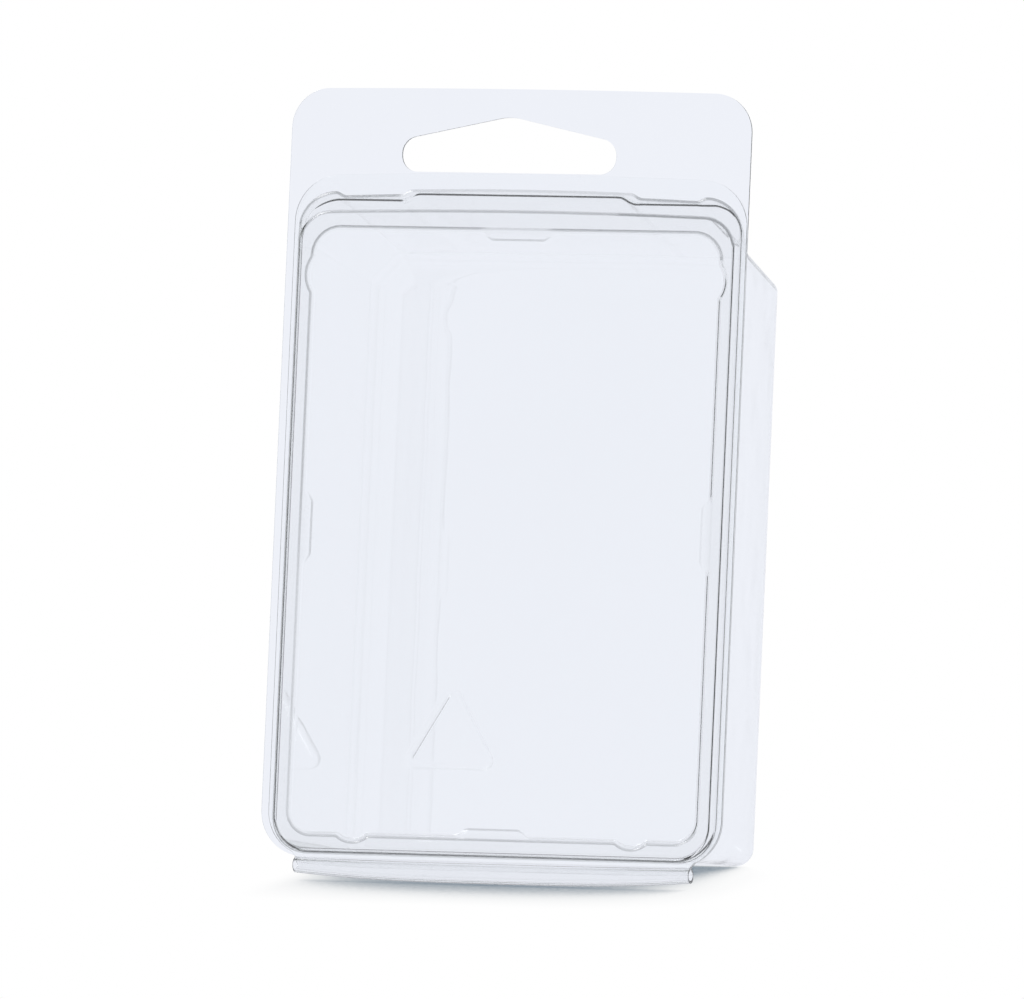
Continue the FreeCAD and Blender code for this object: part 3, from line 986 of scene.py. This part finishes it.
# %% Ride, blend and stand in
BLEND_SHARE = 0.9
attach(back_tray, "tray")
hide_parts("back_tray")
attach(front_lid, "lid")
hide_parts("front_lid")
fold_half = BLEND_SHARE * LOOP_RADIUS * math.sin(CREASE_HALF)
across = to_row.to_3x3() @ Vector((0, fold_half, 0))
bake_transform(hinge_fold, "tray", "lid", start=crease + across, end=crease - across)
print("crease blends over", round(2 * fold_half / MM, 2), "mm")

# %% [markdown]
# ## Studio
#
# Clear plastic is lit by what stands behind it. Lamps and cards round the pack could do that, but
# they would fit one side only. So the world is a soft, pale surround, white where the camera
# looks straight at it. Light that has bounced about inside the sheet has come a long way through
# the edge of the plastic and from the dark parts of a room, so the world gives it less and less.
# That and the painted shade above draw the bends as thin dark lines from any side.

# %% World: a surround that darkens with each bounce
# Bounces so far, divided by BOUNCE_SCALE, and the surround's colour from there on.
BOUNCE_SCALE = 4
SURROUND = [
    (0.0, (0.877, 0.895, 0.954)),
    (0.125, (0.85, 0.87, 0.92)),
    (0.375, (0.6, 0.62, 0.64)),
    (0.625, (0.45, 0.47, 0.48)),
]
world = bpy.data.worlds.new("studio")
scene.world = world
nodes, links = new_tree(world)
ray = nodes.new("ShaderNodeLightPath")
surround = nodes.new("ShaderNodeValToRGB")
surround.color_ramp.interpolation = "CONSTANT"
ramp = surround.color_ramp.elements
for stop, (position, colour) in enumerate(SURROUND):
    if stop > 1:
        ramp.new(position)
    ramp[stop].position = position
    ramp[stop].color = (*colour, 1)
bounces = nodes.new("ShaderNodeMath")
bounces.operation = "DIVIDE"
bounces.inputs[1].default_value = BOUNCE_SCALE
links.new(ray.outputs["Glossy Depth"], bounces.inputs[0])
links.new(bounces.outputs[0], surround.inputs["Fac"])
pale = nodes.new("ShaderNodeBackground")
links.new(surround.outputs["Color"], pale.inputs["Color"])
print("surround steps", [position for position, _ in SURROUND])

# %% World: plain white for the camera
white = nodes.new("ShaderNodeBackground")
white.inputs["Color"].default_value = (1, 1, 1, 1)
choose = nodes.new("ShaderNodeMixShader")
links.new(ray.outputs["Is Camera Ray"], choose.inputs["Fac"])
links.new(pale.outputs["Background"], choose.inputs[1])
links.new(white.outputs["Background"], choose.inputs[2])
sky = nodes.new("ShaderNodeOutputWorld")
links.new(choose.outputs["Shader"], sky.inputs["Surface"])
print("world is", world.name)

# %% [markdown]
# ## Floor
#
# The pack stands on a white sweep and is lit mostly from behind, so its soft shadow falls forward
# and hardly to the sides. Ambient occlusion gives that when its rays are sent from the floor
# towards the pack instead of straight up: they find the plastic only where it stands behind. To
# the camera the floor is nothing but that shadow, laid over the white behind it, so that it never
# hides a lid that has swung down past its level. To light in the plastic it is a bright surface.

# %% Floor plane
FLOOR_Z = -0.05 * MM
FLOOR_FRONT = -0.05
FLOOR_REACH = 1.5
floor_mesh = bmesh.new()
bmesh.ops.create_grid(floor_mesh, x_segments=1, y_segments=1, size=1)
for vert in floor_mesh.verts:
    vert.co = (FLOOR_REACH * vert.co.x, FLOOR_FRONT if vert.co.y < 0 else FLOOR_REACH, FLOOR_Z)
mesh = bpy.data.meshes.new("floor")
floor_mesh.to_mesh(mesh)
floor_mesh.free()
floor = bpy.data.objects.new("floor", mesh)
scene.collection.objects.link(floor)
print("floor starts", round(-FLOOR_FRONT / MM), "mm in front of the pack's middle")

# %% Material: how deep the floor's shadow is
white_sweep = bpy.data.materials.new("white_sweep")
nodes, links = new_tree(white_sweep)
nearness = nodes.new("ShaderNodeAmbientOcclusion")
nearness.samples = 24
nearness.inputs["Distance"].default_value = 0.03
towards_pack = nodes.new("ShaderNodeCombineXYZ")
towards_pack.inputs["Y"].default_value = 1
towards_pack.inputs["Z"].default_value = 0.1
links.new(towards_pack.outputs["Vector"], nearness.inputs["Normal"])
contact = nodes.new("ShaderNodeValToRGB")
# How open the floor is towards the pack, and how deep its shadow is there.
FADE = [(0.46, 0.82), (0.49, 0.63), (0.51, 0.46), (0.55, 0.27), (0.6, 0.145), (0.67, 0.07), (0.85, 0.0)]
contact_ramp = contact.color_ramp.elements
for stop, (position, depth) in enumerate(FADE):
    if stop > 1:
        contact_ramp.new(position)
    contact_ramp[stop].position = position
    contact_ramp[stop].color = (depth, depth, depth, 1)
links.new(nearness.outputs["AO"], contact.inputs["Fac"])
print("shadow fades over", len(FADE), "stops")

# %% Material: the shadow ends at the pack's sides
SHADOW_MIDDLE = 3 * MM
SHADOW_FADES_FROM = 30 * MM
SHADOW_HALF = 36 * MM
coordinates = nodes.new("ShaderNodeTexCoord")
sideways = nodes.new("ShaderNodeSeparateXYZ")
links.new(coordinates.outputs["Object"], sideways.inputs["Vector"])
from_middle = nodes.new("ShaderNodeMath")
from_middle.operation = "SUBTRACT"
from_middle.inputs[1].default_value = SHADOW_MIDDLE
links.new(sideways.outputs["X"], from_middle.inputs[0])
either_side = nodes.new("ShaderNodeMath")
either_side.operation = "ABSOLUTE"
links.new(from_middle.outputs[0], either_side.inputs[0])
beside = nodes.new("ShaderNodeMapRange")
beside.interpolation_type = "SMOOTHSTEP"
beside.inputs["From Min"].default_value = SHADOW_FADES_FROM
beside.inputs["From Max"].default_value = SHADOW_HALF
beside.inputs["To Min"].default_value = 1
beside.inputs["To Max"].default_value = 0
links.new(either_side.outputs[0], beside.inputs["Value"])
shadow = nodes.new("ShaderNodeMath")
shadow.operation = "MULTIPLY"
links.new(contact.outputs["Color"], shadow.inputs[0])
links.new(beside.outputs["Result"], shadow.inputs[1])
print("shadow reaches", round(SHADOW_HALF / MM), "mm to either side")

# %% Material: shadow for the camera, brightness for the plastic
dark = nodes.new("ShaderNodeEmission")
dark.inputs["Color"].default_value = (0, 0.065, 0.13, 1)
through = nodes.new("ShaderNodeBsdfTransparent")
seen = nodes.new("ShaderNodeMixShader")
links.new(shadow.outputs[0], seen.inputs["Fac"])
links.new(through.outputs["BSDF"], seen.inputs[1])
links.new(dark.outputs["Emission"], seen.inputs[2])
lit = nodes.new("ShaderNodeEmission")
lit.inputs["Color"].default_value = (0.877, 0.895, 0.954, 1)
ray = nodes.new("ShaderNodeLightPath")
choose = nodes.new("ShaderNodeMixShader")
links.new(ray.outputs["Is Camera Ray"], choose.inputs["Fac"])
links.new(lit.outputs["Emission"], choose.inputs[1])
links.new(seen.outputs["Shader"], choose.inputs[2])
surface = nodes.new("ShaderNodeOutputMaterial")
links.new(choose.outputs["Shader"], surface.inputs["Surface"])
mesh.materials.append(white_sweep)
print("floor material:", white_sweep.name)

# %% [markdown]
# ## Lamp
#
# Clear plastic hardly takes light from a lamp, and the surround already shows its shape. A strong
# lamp would only burn spots into it. So one weak, soft lamp high on the left gives the small
# bright glints where a bend happens to face it.

# %% Key lamp
key_light = bpy.data.lights.new("key", "AREA")
key_light.size = 0.4
key_light.energy = 2.5
key = bpy.data.objects.new("key", key_light)
key.location = (-0.7, -0.9, 1.0)
key.rotation_euler = (Vector((0, 0, 0.05)) - key.location).to_track_quat("-Z", "Y").to_euler()
scene.collection.objects.link(key)
print("key lamp", key_light.energy, "W")
